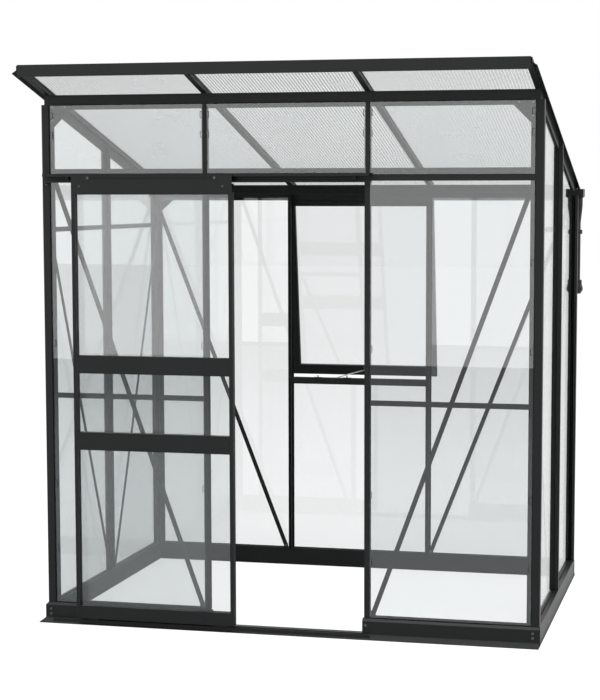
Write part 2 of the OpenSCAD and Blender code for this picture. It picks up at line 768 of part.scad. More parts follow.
// The tilted roof, cut off upright at its front and rear ends
module tilted() { translate([0, 0, wall_h]) rotate([-roof_fall, 0, 0]) children(); }
module slope_run(y0, y1) {
    reach_s = (depth + front_overhang + rear_overhang) / cos(roof_fall);
    intersection() {
        tilted() plate(-reach_s / 2, reach_s + cut) children();
        translate([-half_w - cut, y0, 0]) cube([2 * (half_w + cut), y1 - y0, 2 * wall_h]);
    }
}
roof_front = wall - front_overhang;
roof_rear = depth + rear_overhang;
module rafter_box() {
    difference() {
        box([-rafter_w / 2, 0], [rafter_w / 2, rafter_h]);
        box([wall - rafter_w / 2, wall], [rafter_w / 2 - wall, rafter_h - wall]);
    }
}
module rafters_mid() {
    color(black) for (i = [1, 2]) slope_run(roof_front, roof_rear) translate([front_lines[i], 0]) {
        rafter_box();
        box([-web_t / 2, rafter_h - wall], [web_t / 2, sheet_n]);
    }
}
module rafter_edge() {
    root = rafter_w / 2;
    inner = post_edge - side_body_d;
    outer = post_edge - side_cap;
    pane_n = bore_gap - side_top * cos(roof_fall);
    color(black) translate([1.5 * bay_w, 0, 0]) {
        slope_run(roof_front, roof_rear) {
            rafter_box();
            box([root - wall, rafter_h - wall], [root, sheet_n]);
            polygon([[root - wall / 2, 5], [root, 5], [root + wing_w, 5 - wing_drop],
                [root + wing_w, 7 - wing_drop], [root, 7], [root - wall / 2, 7]]);
        }
        for (i = [0, 1]) {
            slope_run(span(side_lines, i, 1)[0], span(side_lines, i, 1)[1])
                box([inner, pane_n - stop_lap], [inner + wall, wall / 2]);
            slope_run(max(bar_depth, span(side_lines, i, 0)[0]), span(side_lines, i, 0)[1]) {
                box([outer, pane_n - stop_lap], [outer + wall, wall / 2]);
                box([inner + wall, pane_n], [outer + wall, pane_n + wall]);
            }
        }
    }
}
module rafter_right() { rafter_edge(); }
module rafter_left() { mirror([1, 0, 0]) rafter_edge(); }
module roof_caps() {
    bevel = roof_cap_t / 2;
    color(cap_black) for (x = front_lines) slope_run(roof_front, roof_rear) translate([x, sheet_n])
        polygon([[-rafter_w / 2, 0], [rafter_w / 2, 0], [rafter_w / 2, roof_cap_t - bevel],
            [rafter_w / 2 - bevel, roof_cap_t], [bevel - rafter_w / 2, roof_cap_t],
            [-rafter_w / 2, roof_cap_t - bevel]]);
}

// Twin-wall roof sheets with their flutes running down the slope
module sheet_section(x0, x1) {
    count = floor((x1 - x0) / flute_pitch);
    pitch = (x1 - x0 - sheet_skin) / count;
    difference() {
        box([x0, rafter_h], [x1, sheet_n]);
        for (k = [0:count - 1]) translate([x0 + sheet_skin + k * pitch, rafter_h + sheet_skin])
            square([pitch - sheet_skin, sheet_t - 2 * sheet_skin]);
    }
}
module roof_sheets() {
    inner = web_t / 2 + sheet_gap;
    outer = rafter_w / 2 - wall - sheet_gap;
    color(clear) for (i = [0:2]) slope_run(roof_front, roof_rear)
        sheet_section(front_lines[i] + (i == 0 ? -outer : inner), front_lines[i + 1] + (i == 2 ? outer : -inner));
}

// Fascia over the front ends of the roof
module fascia() {
    edge = 1.5 * bay_w + rafter_w / 2 - fascia_inset;
    y0 = -front_overhang;
    top = function (y) roof_z(y) + roof_n / cos(roof_fall);
    z0 = top(y0) + wall - fascia_h;
    color(black) along([-edge, edge]) polygon([[y0, z0], [y0 + 15, z0], [y0 + 15, z0 + wall],
        [y0 + wall, z0 + wall], [y0 + wall, top(y0 + wall)], [y0 + 20, top(y0 + 20)],
        [y0 + 20, top(y0 + 20) + wall], [y0, top(y0) + wall]]);
}

// Gutter behind the eave, its end plates, outlet and downpipe
module gutter_outside() {
    difference() {
        box([0, 0], [gutter_d, gutter_h]);
        difference() {
            box([gutter_d - gutter_radius, -1], [gutter_d + 1, gutter_radius]);
            translate([gutter_d - gutter_radius, gutter_radius]) circle(gutter_radius);
        }
    }
}
module gutter_inside() {
    r = gutter_radius - wall;
    difference() {
        box([wall, wall], [gutter_d - wall, gutter_h + 1]);
        difference() {
            box([gutter_d - wall - r, 0], [gutter_d, wall + r]);
            translate([gutter_d - gutter_radius, gutter_radius]) circle(r);
        }
    }
}
gutter_x = half_w + gutter_end;
pipe_at = [half_w - pipe_x, depth + pipe_y];
outlet_at = [half_w - pipe_x + outlet_shift, depth + gutter_d / 2];
pipe_z = gutter_z - outlet_h;
socket_z = pipe_z - pipe_l;
module gutter() {
    bead = 3.5;
    color(black) difference() {
        along([wall - gutter_x, gutter_x - wall]) translate([depth, gutter_z]) {
            difference() {
                gutter_outside();
                gutter_inside();
            }
            translate([gutter_d - bead, gutter_h - bead]) circle(bead);
        }
        translate([outlet_at[0], outlet_at[1], gutter_z - 1]) cylinder(h = 2 * wall, r = pipe_d / 2 - pipe_t);
    }
}
module gutter_ends() {
    color(black) for (ends = [[-gutter_x, wall - gutter_x], [gutter_x - wall, gutter_x]])
        along(ends) translate([depth, gutter_z]) gutter_outside();
}
module outlet_run(r, over) {
    leg = outlet_h / 4;
    high = [outlet_at[0], outlet_at[1], gutter_z - leg];
    low = [pipe_at[0], pipe_at[1], pipe_z + leg];
    translate(high) cylinder(h = leg + over, r = r, $fn = 32);
    hull() {
        translate(high) cylinder(h = 1, r = r, $fn = 32);
        translate(low) cylinder(h = 1, r = r, $fn = 32);
    }
    translate([low[0], low[1], pipe_z - over]) cylinder(h = leg + 1 + over, r = r, $fn = 32);
}
module gutter_outlet() {
    color(nylon) difference() {
        union() {
            outlet_run(pipe_d / 2, 0);
            translate([outlet_at[0], outlet_at[1], gutter_z - 3]) cylinder(h = 3, r = pipe_d / 2 + 3, $fn = 32);
        }
        outlet_run(pipe_d / 2 - pipe_t, 1);
    }
}
module downpipe() {
    color(nylon) translate([pipe_at[0], pipe_at[1], socket_z]) difference() {
        cylinder(h = pipe_l, r = pipe_d / 2);
        translate([0, 0, -1]) cylinder(h = pipe_l + 2, r = pipe_d / 2 - pipe_t);
    }
}
module pipe_collars() {
    color(nylon) for (z = [pipe_z - collar_h / 2, socket_z])
        translate([pipe_at[0], pipe_at[1], z]) rotate_extrude()
            polygon([[pipe_d / 2 + hinge_gap, 0], [collar_d / 2 - 1, 0], [collar_d / 2, 1],
                [collar_d / 2, collar_h - 1], [collar_d / 2 - 1, collar_h], [pipe_d / 2 + hinge_gap, collar_h]]);
}
module pipe_socket() {
    bore = socket_bore / 2;
    r = socket_d / 2;
    color(nylon) translate([pipe_at[0], pipe_at[1], socket_z - socket_h]) rotate_extrude()
        polygon([[bore, 0], [bore + 3, 0], [r, 15], [r, 25], [collar_d / 2, socket_h],
            [pipe_d / 2 - pipe_t, socket_h], [pipe_d / 2 - pipe_t, bore_l], [bore, bore_l]]);
}

// Door: hollow stiles and rails with grooves for the panes
pane_y = door_y + door_t / 2 - glass_t / 2;
module door_stile() {
    difference() {
        box([0, door_y], [stile_w, -door_gap]);
        box([wall, door_y + wall], [stile_w - groove - wall, -door_gap - wall]);
        box([stile_w - groove, pane_y], [stile_w + 1, pane_y + glass_t]);
    }
}
module door_stiles() {
    color(black) for (s = [0, 1]) translate([door_x + s * door_w, 0, 0]) mirror([s, 0, 0])
        upright(door_lift, hanger_z) door_stile();
}
module door_rail_section(z0, z1, low) {
    difference() {
        box([door_y, z0], [-door_gap, z1]);
        box([door_y + wall, z0 + wall + low * groove], [-door_gap - wall, z1 - wall - groove]);
        if (low == 1) box([pane_y, z0 - 1], [pane_y + glass_t, z0 + groove]);
        box([pane_y, z1 - groove], [pane_y + glass_t, z1 + 1]);
    }
}
module door_rails() {
    ends = [door_x + stile_w, door_x + door_w - stile_w];
    glide_y = [-rib_y - 5, -rib_y + 5];
    color(black) {
        along(ends) door_rail_section(door_lift, door_lift + door_foot, 0);
        for (z = [door_rail_low, door_rail_high]) along(ends)
            door_rail_section(z, z + door_rail_h, 1);
    }
    glides = [ends[0] + glide_in, ends[1] - glide_in - glide_l];
    color(nylon) for (x = glides) along([x, x + glide_l]) difference() {
        box([glide_y[0], door_lift - 14], [glide_y[1], door_lift]);
        box([-rib_y - rib_t / 2 - 2 * run_gap, 0], [-rib_y + rib_t / 2 + 2 * run_gap, rib_h + 1]);
    }
}
module door_hanger() {
    color(black) difference() {
        along([door_x, door_x + door_w]) {
            box([door_y, hanger_z], [door_y + hanger_t, hanger_z + hanger_h]);
            difference() {
                box([door_y, hanger_z], [-door_gap, door_top]);
                box([door_y + hanger_t, hanger_z + groove + wall], [-door_gap - wall, door_top - wall]);
                box([pane_y, hanger_z - 1], [pane_y + glass_t, hanger_z + groove]);
            }
        }
        for (x = roller_xs) translate([x, door_y - 1, roller_h]) rotate([-90, 0, 0])
            cylinder(h = hanger_t + 2, r = axle_d / 2 + bore_gap);
    }
}
module door_glass() {
    ends = [door_x + stile_w - groove, door_x + door_w - stile_w + groove];
    levels = [[door_lift + door_foot, door_rail_low], [door_rail_low + door_rail_h, door_rail_high],
        [door_rail_high + door_rail_h, hanger_z]];
    color(clear) for (z = levels) along(ends)
        box([pane_y, z[0] - groove], [pane_y + glass_t, z[1] + groove]);
}

// Rollers on their axle bolts
roller_y = [-bead_y - roller_w / 2, roller_w / 2 - bead_y];
module door_axles() {
    back = roller_y[1] + run_gap;
    front = roller_y[0] - run_gap;
    color(steel) for (x = roller_xs) translate([x, 0, roller_h]) rotate([-90, 0, 0]) {
        translate([0, 0, door_y - 3]) cylinder(h = 3, r = axle_d / 2 + 2);
        translate([0, 0, door_y - 1]) cylinder(h = back - door_y + 2, r = axle_d / 2);
        translate([0, 0, door_y + hanger_t]) cylinder(h = front - door_y - hanger_t, r = axle_d / 2 + 1.4);
        translate([0, 0, back]) cylinder(h = 2, r = axle_d / 2 + 2);
    }
}
module roller(x) {
    color(nylon) translate([x, 0, roller_h]) rotate([-90, 0, 0]) rotate_extrude() difference() {
        box([axle_d / 2 + bore_gap, roller_y[0]], [roller_r, roller_y[1]]);
        translate([roller_h - bead_h, -bead_y]) circle(bead_gap_r);
    }
}
module roller_left() { roller(roller_xs[0]); }
module roller_right() { roller(roller_xs[1]); }

// Window, drawn closed and hanging from its hinge axis, then swung open
module window_frame() { translate([0, hinge_y, hinge_z]) rotate([window_open, 0, 0]) children(); }
window_out = window_t - window_in;
window_pane_y = 3.5;
module window_rails() {
    color(black) window_frame() {
        along([-window_w / 2, window_w / 2]) {
            circle(hinge_r);
            box([-neck_t / 2, -neck_h - wall / 2], [neck_t / 2, -hinge_r / 2]);
            difference() {
                box([-window_in, -neck_h - window_top_h], [window_out, -neck_h]);
                box([wall - window_in, groove + wall - neck_h - window_top_h], [window_out - wall, -neck_h - wall]);
                box([window_pane_y, -neck_h - window_top_h - 1],
                    [window_pane_y + glass_t, groove - neck_h - window_top_h]);
            }
        }
        along([-window_w / 2, window_w / 2]) difference() {
            box([-window_in, -window_h], [window_out, window_foot - window_h]);
            box([wall - window_in, wall - window_h], [window_out - wall, window_foot - groove - wall - window_h]);
            box([window_pane_y, window_foot - groove - window_h],
                [window_pane_y + glass_t, window_foot + 1 - window_h]);
        }
    }
}
module window_stiles() {
    color(black) window_frame() for (s = [0, 1]) mirror([s, 0, 0]) translate([-window_w / 2, 0, 0])
        upright(window_foot - window_h, -neck_h - window_top_h) difference() {
            box([0, -window_in], [window_stile, window_out]);
            box([wall, wall - window_in], [window_stile - groove - wall, window_out - wall]);
            box([window_stile - groove, window_pane_y], [window_stile + 1, window_pane_y + glass_t]);
        }
}
module window_glass() {
    side = window_w / 2 - window_stile + groove;
    color(clear) window_frame() along([-side, side])
        box([window_pane_y, window_foot - groove - window_h],
            [window_pane_y + glass_t, groove - neck_h - window_top_h]);
}

// Stay: a bracket with an upright pin and an arm that turns on it
module stay_bracket() {
    lug = -window_in - pivot[1];
    color(steel) window_frame() translate(pivot) {
        translate([-14, lug - wall, -12]) cube([28, wall, 22]);
        translate([-8, 0, -stay_t / 2 - run_gap - wall]) cube([16, lug - wall / 2, wall]);
        translate([0, 0, -stay_t / 2 - run_gap - wall]) cylinder(h = wall, r = 8);
        translate([0, 0, -stay_t / 2 - run_gap - wall]) cylinder(h = stay_t + 2 * run_gap + wall + 1, r = pin_r);
        translate([0, 0, stay_t / 2 + run_gap]) cylinder(h = wall, r = pin_r + 2);
    }
}
module stay_arm() {
    tip = stay_l - stay_w / 2;
    color(steel) window_frame() translate(pivot) translate([0, 0, -stay_t / 2])
        rotate(-stay_turn) linear_extrude(stay_t) difference() {
            union() {
                circle(stay_w / 2 + 1.5);
                box([-stay_w / 2, -tip], [stay_w / 2, 0]);
                translate([0, -tip]) circle(stay_w / 2);
            }
            circle(pin_r + hinge_gap);
            for (t = stay_holes) translate([0, -t * stay_l]) circle(pin_r + 0.5);
        }
}

base_front();
base_rear();
base_left();
base_right();
door_sill();
post_front_left();
post_front_right();
post_rear_left();
post_rear_right();
bar_front_left();
bar_front_right();
bars_rear();
bar_side_left();
bar_side_right();
head_beam();
door_track();
track_stops();
transom();
mid_rails();
side_rails();
sill_rail();
stay_pegs();
eave_beam();
hinge_channel();
gussets();
braces_front();
braces_rear();
braces_side();
brace_feet();
bar_caps();
seals();
glass_transom();
glass_front();
glass_side_left();
glass_side_right();
glass_rear();
rafter_left();
rafter_right();
rafters_mid();
roof_caps();
roof_sheets();
fascia();
gutter();
gutter_ends();
gutter_outlet();
downpipe();
pipe_collars();
pipe_socket();
door_stiles();
door_hanger();
door_rails();
door_glass();
door_axles();
roller_left();
roller_right();
window_rails();
window_stiles();
window_glass();
stay_bracket();
stay_arm();
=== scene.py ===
import math

import bmesh
import bpy
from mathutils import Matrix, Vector


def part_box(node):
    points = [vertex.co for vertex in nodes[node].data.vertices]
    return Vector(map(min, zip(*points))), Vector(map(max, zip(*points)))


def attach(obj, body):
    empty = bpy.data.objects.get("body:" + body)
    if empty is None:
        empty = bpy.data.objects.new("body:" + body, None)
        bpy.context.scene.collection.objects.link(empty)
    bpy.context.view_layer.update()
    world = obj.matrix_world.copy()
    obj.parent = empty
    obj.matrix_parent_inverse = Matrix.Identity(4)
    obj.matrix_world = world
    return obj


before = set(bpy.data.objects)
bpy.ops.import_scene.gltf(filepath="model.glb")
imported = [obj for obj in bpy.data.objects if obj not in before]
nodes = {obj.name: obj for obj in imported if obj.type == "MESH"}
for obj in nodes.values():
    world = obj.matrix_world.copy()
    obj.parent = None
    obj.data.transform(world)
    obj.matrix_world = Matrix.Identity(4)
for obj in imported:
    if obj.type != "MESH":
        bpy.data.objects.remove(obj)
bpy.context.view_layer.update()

scene = bpy.context.scene


# Camera. It stands at eye height in front of the greenhouse and to its right, and looks left and a
# little down at it through a long lens, as the photograph does.
look_down, look_left = 5.335, 12.843
camera_data = bpy.data.cameras.new("camera")
camera_data.sensor_width = 36
camera_data.lens = 92.93
camera_data.shift_x = -0.0630
camera_data.shift_y = 0.0240
camera_data.clip_start = 0.1
camera_data.clip_end = 300
camera = bpy.data.objects.new("camera", camera_data)
camera.location = (1.6982, -6.4723, 1.6364)
camera.rotation_euler = (math.radians(90 - look_down), 0, math.radians(look_left))
scene.collection.objects.link(camera)
scene.camera = camera
scene.view_settings.view_transform = "Standard"


# Studio. A white room gives soft light from all round; a large lamp at the upper left and a nearer one at
# the right give the profiles their lit and shaded sides, and one overhead lights their tops.
def linear(hex_colour):
    """A colour written as sRGB hex, as linear light."""
    def channel(start):
        value = int(hex_colour[start:start + 2], 16) / 255
        return value / 12.92 if value <= 0.04045 else ((value + 0.055) / 1.055) ** 2.4
    return (channel(1), channel(3), channel(5), 1)


def add_node(tree, kind, settings=None, links=None):
    """A node with its own settings, the values of its sockets, and the outputs linked to its sockets."""
    # A name that starts with a dot is the node's own setting; any other name or number is a socket.
    node = tree.nodes.new(kind)
    for name, value in (settings or {}).items():
        if isinstance(name, str) and name.startswith("."):
            setattr(node, name[1:], value)
        else:
            node.inputs[name].default_value = value
    for name, output in (links or {}).items():
        tree.links.new(output, node.inputs[name])
    return node


def cleared_tree(owner):
    """The node tree of a material or of the world, emptied so that it can be built from nothing."""
    owner.use_nodes = True
    owner.node_tree.nodes.clear()
    return owner.node_tree


def ray_is(tree, *kinds):
    """A value that is 1 for a ray of light of any of these kinds, and 0 for all others."""
    ray = add_node(tree, "ShaderNodeLightPath")
    found = ray.outputs[kinds[0]]
    for kind in kinds[1:]:
        found = add_node(tree, "ShaderNodeMath", {".operation": "MAXIMUM"},
                         {0: found, 1: ray.outputs[kind]}).outputs[0]
    return found


pure_white = linear("#FFFFFF")
world = bpy.data.worlds.new("white_room")
scene.world = world
tree = cleared_tree(world)
seen_or_mirrored = ray_is(tree, "Is Camera Ray", "Is Transmission Ray", "Is Glossy Ray")
lighting = add_node(tree, "ShaderNodeBackground", {"Color": pure_white, "Strength": 0.75})
backdrop = add_node(tree, "ShaderNodeBackground", {"Color": pure_white, "Strength": 1.0})
both = add_node(tree, "ShaderNodeMixShader", {},
                {"Fac": seen_or_mirrored, 1: lighting.outputs[0], 2: backdrop.outputs[0]})
add_node(tree, "ShaderNodeOutputWorld", {}, {"Surface": both.outputs[0]})


def soft_lamp(name, place, aim, size, power, mirrored=False):
    """A square soft box at place that points at aim; only a mirrored one shows in glossy faces."""
    lamp_data = bpy.data.lights.new(name, "AREA")
    lamp_data.shape = "SQUARE"
    lamp_data.size = size
    lamp_data.energy = power
    lamp = bpy.data.objects.new(name, lamp_data)
    lamp.location = place
    lamp.rotation_euler = (Vector(aim) - Vector(place)).to_track_quat("-Z", "Y").to_euler()
    lamp.visible_camera = False
    lamp.visible_glossy = mirrored
    lamp.visible_transmission = False
    scene.collection.objects.link(lamp)


middle, front_half = (0, 0.6, 1), (0, 0.3, 1)
soft_lamp("lamp_left", (-5, -4.5, 5), middle, size=3.5, power=215)
soft_lamp("lamp_right", (5.5, 0.4, 4), middle, size=3.0, power=280)
soft_lamp("lamp_overhead", (-0.5, -1.5, 6), front_half, size=4.5, power=160, mirrored=True)


# Studio floor. A plain pale floor that ends some way in front of the greenhouse, as the one mirrored
# in the panes does; to the eye it is white and keeps a faint soft shadow.
def studio_sheet(name, corners, faces, paint):
    """A flat piece of the studio, which is no part of the greenhouse."""
    mesh = bpy.data.meshes.new(name)
    mesh.from_pydata(corners, [], faces)
    mesh.materials.append(paint)
    sheet = bpy.data.objects.new(name, mesh)
    scene.collection.objects.link(sheet)
    return sheet


floor_paint = bpy.data.materials.new("matt_white_floor")
tree = cleared_tree(floor_paint)
seen = ray_is(tree, "Is Camera Ray", "Is Transmission Ray")
glow = add_node(tree, "ShaderNodeEmission", {"Color": pure_white, "Strength": 0.90})
shadow = add_node(tree, "ShaderNodeBsdfDiffuse", {"Color": linear("#7C7C7C")})
white = add_node(tree, "ShaderNodeAddShader", {}, {0: glow.outputs[0], 1: shadow.outputs[0]})
matt = add_node(tree, "ShaderNodeBsdfDiffuse", {"Color": linear("#949798")})
both = add_node(tree, "ShaderNodeMixShader", {}, {"Fac": seen, 1: matt.outputs[0], 2: white.outputs[0]})
add_node(tree, "ShaderNodeOutputMaterial", {}, {"Surface": both.outputs[0]})
floor_front, floor_back, floor_side = -10.85, 36, 60
studio_sheet("floor", [(-floor_side, floor_front, 0), (floor_side, floor_front, 0),
                       (floor_side, floor_back, 0), (-floor_side, floor_back, 0)],
             [(0, 1, 2, 3)], floor_paint)

# Reflector card. White card, laid beside the right wall and turned up behind it; only glossy faces show
# it, so that the right-hand panes, seen almost edge on, mirror white.
card_paint = bpy.data.materials.new("white_card")
tree = cleared_tree(card_paint)
glow = add_node(tree, "ShaderNodeEmission", {"Color": pure_white, "Strength": 0.9})
add_node(tree, "ShaderNodeOutputMaterial", {}, {"Surface": glow.outputs[0]})
card_left, card_right, card_near, card_bend = 0.97, 1.30, -0.02, 1.45
card_lift, card_top = 0.001, 2.0
card_line = ((card_near, card_lift), (card_bend, card_lift), (card_bend, card_top))
card = studio_sheet("card", [(x, y, z) for x in (card_left, card_right) for y, z in card_line],
                    [(0, 3, 4, 1), (1, 4, 5, 2)], card_paint)
for kind in ("camera", "diffuse", "transmission", "volume_scatter", "shadow"):
    setattr(card, "visible_" + kind, False)


# Frame profiles. Extruded aluminium with a black powder coat, baked on in a thin even layer: nearly
# black, with a soft sheen and the faint orange-peel texture of the powder.
def mottled(tree, grain, detail, dark, light):
    """Noise with a grain of this many metres, and the colour that it mixes from two tones."""
    place = add_node(tree, "ShaderNodeTexCoord").outputs["Object"]
    noise = add_node(tree, "ShaderNodeTexNoise", {"Scale": 1 / grain, "Detail": detail}, {"Vector": place})
    # Sockets 6 and 7 of a colour mix are its two colours, and output 2 is the mixed one.
    tone = add_node(tree, "ShaderNodeMix", {".data_type": "RGBA", 6: linear(dark), 7: linear(light)},
                    {0: noise.outputs["Fac"]})
    return noise.outputs["Fac"], tone.outputs[2]


def dress(names, finish, edge=0):
    """Gives CAD nodes their finish and, where edge is given, rounds their edges by that many metres."""
    for name in names:
        piece = nodes[name]
        piece.data.materials.clear()
        piece.data.materials.append(finish)
        if edge:
            weld = piece.modifiers.new("weld", "WELD")
            weld.merge_threshold = same_place
            bevel = piece.modifiers.new("bevel", "BEVEL")
            bevel.width = edge
            bevel.segments = 1
            bevel.limit_method = "ANGLE"
            bevel.angle_limit = math.radians(sharp_from)
            bevel.harden_normals = True


same_place, sharp_from = 0.00001, 40
cloud_size, peel_size, peel_depth = 0.12, 0.0025, 0.0003
powder_coat = bpy.data.materials.new("black_powder_coat")
tree = cleared_tree(powder_coat)
clouds, tone = mottled(tree, cloud_size, 3.0, "#191A1A", "#1F2021")
gloss = add_node(tree, "ShaderNodeMapRange", {"To Min": 0.36, "To Max": 0.46}, {"Value": clouds})
place = add_node(tree, "ShaderNodeTexCoord").outputs["Object"]
peel = add_node(tree, "ShaderNodeTexNoise", {"Scale": 1 / peel_size, "Detail": 2.0}, {"Vector": place})
bump = add_node(tree, "ShaderNodeBump", {"Strength": 0.12, "Distance": peel_depth},
                {"Height": peel.outputs["Fac"]})
coat = add_node(tree, "ShaderNodeBsdfPrincipled", {"Specular IOR Level": 0.3},
                {"Base Color": tone, "Roughness": gloss.outputs[0], "Normal": bump.outputs[0]})
add_node(tree, "ShaderNodeOutputMaterial", {}, {"Surface": coat.outputs[0]})

profiles = ["base_front", "base_rear", "base_left", "base_right", "door_sill", "post_front_left",
            "post_front_right", "post_rear_left", "post_rear_right", "bar_front_left",
            "bar_front_right", "bars_rear", "bar_side_left", "bar_side_right", "head_beam",
            "door_track", "transom", "mid_rails", "side_rails", "sill_rail", "eave_beam",
            "hinge_channel", "gussets", "braces_front", "braces_rear", "braces_side", "brace_feet",
            "bar_caps", "rafter_left", "rafter_right", "rafters_mid", "roof_caps", "fascia",
            "gutter", "gutter_ends", "door_stiles", "door_hanger", "door_rails", "window_rails",
            "window_stiles", "stay_pegs"]
profile_edge = 0.0005
dress(profiles, powder_coat, profile_edge)

# Panes. Toughened float glass 3 mm thick, cut to the bays and clamped in rubber: clear, hardly tinted,
# with a faint mirror image of the white room that grows strong where a pane is seen almost edge on.
mirrored_straight_on, mirrored_edge_on, steepness = 0.115, 1.0, 5.0
glass = bpy.data.materials.new("toughened_float_glass")
tree = cleared_tree(glass)
facing = add_node(tree, "ShaderNodeLayerWeight", {"Blend": 0.5})
grazing = add_node(tree, "ShaderNodeMath", {".operation": "POWER", 1: steepness},
                   {0: facing.outputs["Facing"]})
share = add_node(tree, "ShaderNodeMapRange", {"To Min": mirrored_straight_on, "To Max": mirrored_edge_on},
                 {"Value": grazing.outputs[0]})
clear = add_node(tree, "ShaderNodeBsdfTransparent", {"Color": linear("#FAFBFB")})
mirror = add_node(tree, "ShaderNodeBsdfPrincipled",
                  {"Base Color": linear("#F5F6F6"), "Roughness": 0.0, "Metallic": 1.0})
pane = add_node(tree, "ShaderNodeMixShader", {},
                {"Fac": share.outputs[0], 1: clear.outputs[0], 2: mirror.outputs[0]})
add_node(tree, "ShaderNodeOutputMaterial", {}, {"Surface": pane.outputs[0]})
dress(["glass_transom", "glass_front", "glass_side_left", "glass_side_right", "glass_rear",
       "door_glass", "window_glass"], glass)

# Seals. Black rubber strip, extruded and pushed round the edges of the panes: dull and slightly soft in
# tone, with a grain of about a millimetre.
rubber_grain = 0.00111
rubber = bpy.data.materials.new("black_rubber")
tree = cleared_tree(rubber)
_, tone = mottled(tree, rubber_grain, 2.0, "#101112", "#18191A")
soft = add_node(tree, "ShaderNodeBsdfPrincipled", {"Roughness": 0.75, "Specular IOR Level": 0.2},
                {"Base Color": tone})
add_node(tree, "ShaderNodeOutputMaterial", {}, {"Surface": soft.outputs[0]})
dress(["seals"], rubber)

# Roof sheets. Twin-wall polycarbonate, extruded with thin ribs between two skins: it lets the light
# through softened, and the ribs show as fine lines down the slope.
haze_size, rib_pitch = 0.1667, 0.012
line_starts, line_full = 0.55, 0.95
# The distance between two bands of a Wave texture whose scale is 1.
wave_band = math.tau / 20
twin_wall = bpy.data.materials.new("twin_wall_polycarbonate")
tree = cleared_tree(twin_wall)
place = add_node(tree, "ShaderNodeTexCoord").outputs["Object"]
haze = add_node(tree, "ShaderNodeTexNoise", {"Scale": 1 / haze_size, "Detail": 2.0}, {"Vector": place})
blur = add_node(tree, "ShaderNodeMapRange", {"To Min": 0.22, "To Max": 0.30},
                {"Value": haze.outputs["Fac"]})
ribs = add_node(tree, "ShaderNodeTexWave",
                {".wave_type": "BANDS", ".bands_direction": "X", "Distortion": 0.0,
                 "Scale": wave_band / rib_pitch}, {"Vector": place})
line = add_node(tree, "ShaderNodeMapRange", {"From Min": line_starts, "From Max": line_full},
                {"Value": ribs.outputs["Fac"]})
tone = add_node(tree, "ShaderNodeMix", {".data_type": "RGBA", 6: linear("#F3F4F4"), 7: linear("#DEDFDF")},
                {0: line.outputs[0]})
sheet = add_node(tree, "ShaderNodeBsdfPrincipled", {"IOR": 1.03, "Transmission Weight": 1.0},
                 {"Base Color": tone.outputs[2], "Roughness": blur.outputs[0]})
add_node(tree, "ShaderNodeOutputMaterial", {}, {"Surface": sheet.outputs[0]})
dress(["roof_sheets"], twin_wall)

# Moulded parts. Glass-filled nylon rollers and track stops, and the outlet, downpipe, collars and
# socket in black PVC: smooth from the mould, satin and slightly mottled.
mottle_size = 0.0333
moulded = bpy.data.materials.new("moulded_black_plastic")
tree = cleared_tree(moulded)
_, tone = mottled(tree, mottle_size, 3.0, "#16181A", "#1F2123")
satin = add_node(tree, "ShaderNodeBsdfPrincipled", {"Roughness": 0.4, "Specular IOR Level": 0.3},
                 {"Base Color": tone})
add_node(tree, "ShaderNodeOutputMaterial", {}, {"Surface": satin.outputs[0]})
dress(["track_stops", "roller_left", "roller_right", "gutter_outlet", "downpipe", "pipe_collars",
       "pipe_socket"], moulded)

# Bright metal. The window's stay is zinc-plated sheet steel, and the gussets' screws are plated too:
# light grey with a brushed, slightly uneven gloss.
spangle_size = 0.00385
bright = bpy.data.materials.new("zinc_plated_steel")
tree = cleared_tree(bright)
spangle, tone = mottled(tree, spangle_size, 3.0, "#B4B6B8", "#D0D2D3")
gloss = add_node(tree, "ShaderNodeMapRange", {"To Min": 0.25, "To Max": 0.4}, {"Value": spangle})
zinc = add_node(tree, "ShaderNodeBsdfPrincipled", {"Metallic": 1.0},
                {"Base Color": tone, "Roughness": gloss.outputs[0]})
add_node(tree, "ShaderNodeOutputMaterial", {}, {"Surface": zinc.outputs[0]})
dress(["stay_bracket", "stay_arm"], bright)

# Dark metal. The door's axle bolts, the frame's bolts and the other screws are steel with a worn dark
# oxide finish, a little brighter than the coat round them.
wear_size = 0.002
oxide = bpy.data.materials.new("dark_oxide_steel")
tree = cleared_tree(oxide)
_, tone = mottled(tree, wear_size, 3.0, "#4A4C4E", "#76787A")
dark_steel = add_node(tree, "ShaderNodeBsdfPrincipled", {"Metallic": 0.7, "Roughness": 0.38},
                      {"Base Color": tone})
add_node(tree, "ShaderNodeOutputMaterial", {}, {"Surface": dark_steel.outputs[0]})
dress(["door_axles"], oxide)


# Screws and bolts. Low domed heads of turned steel with a socket hold the base rails, the left post, the
# gussets, the heads and feet of the braces, and the door's hanger; each sits as the driver left it,
# turned at random.
def turned(name, profile, count):
    """A mesh turned about Z from pairs of radius and height; the first and last close it."""
    shape = bmesh.new()
    rings = []
    for radius, height in profile:
        rings.append([shape.verts.new((radius * math.cos(math.tau * k / count),
                                       radius * math.sin(math.tau * k / count), height))
                      for k in range(count)])
    for low, high in zip(rings, rings[1:]):
        for k in range(count):
            shape.faces.new((low[k], low[(k + 1) % count], high[(k + 1) % count], high[k]))
    shape.faces.new(rings[-1])
    shape.faces.new(rings[0][::-1])
    mesh = bpy.data.meshes.new(name)
    shape.to_mesh(mesh)
    shape.free()
    return mesh


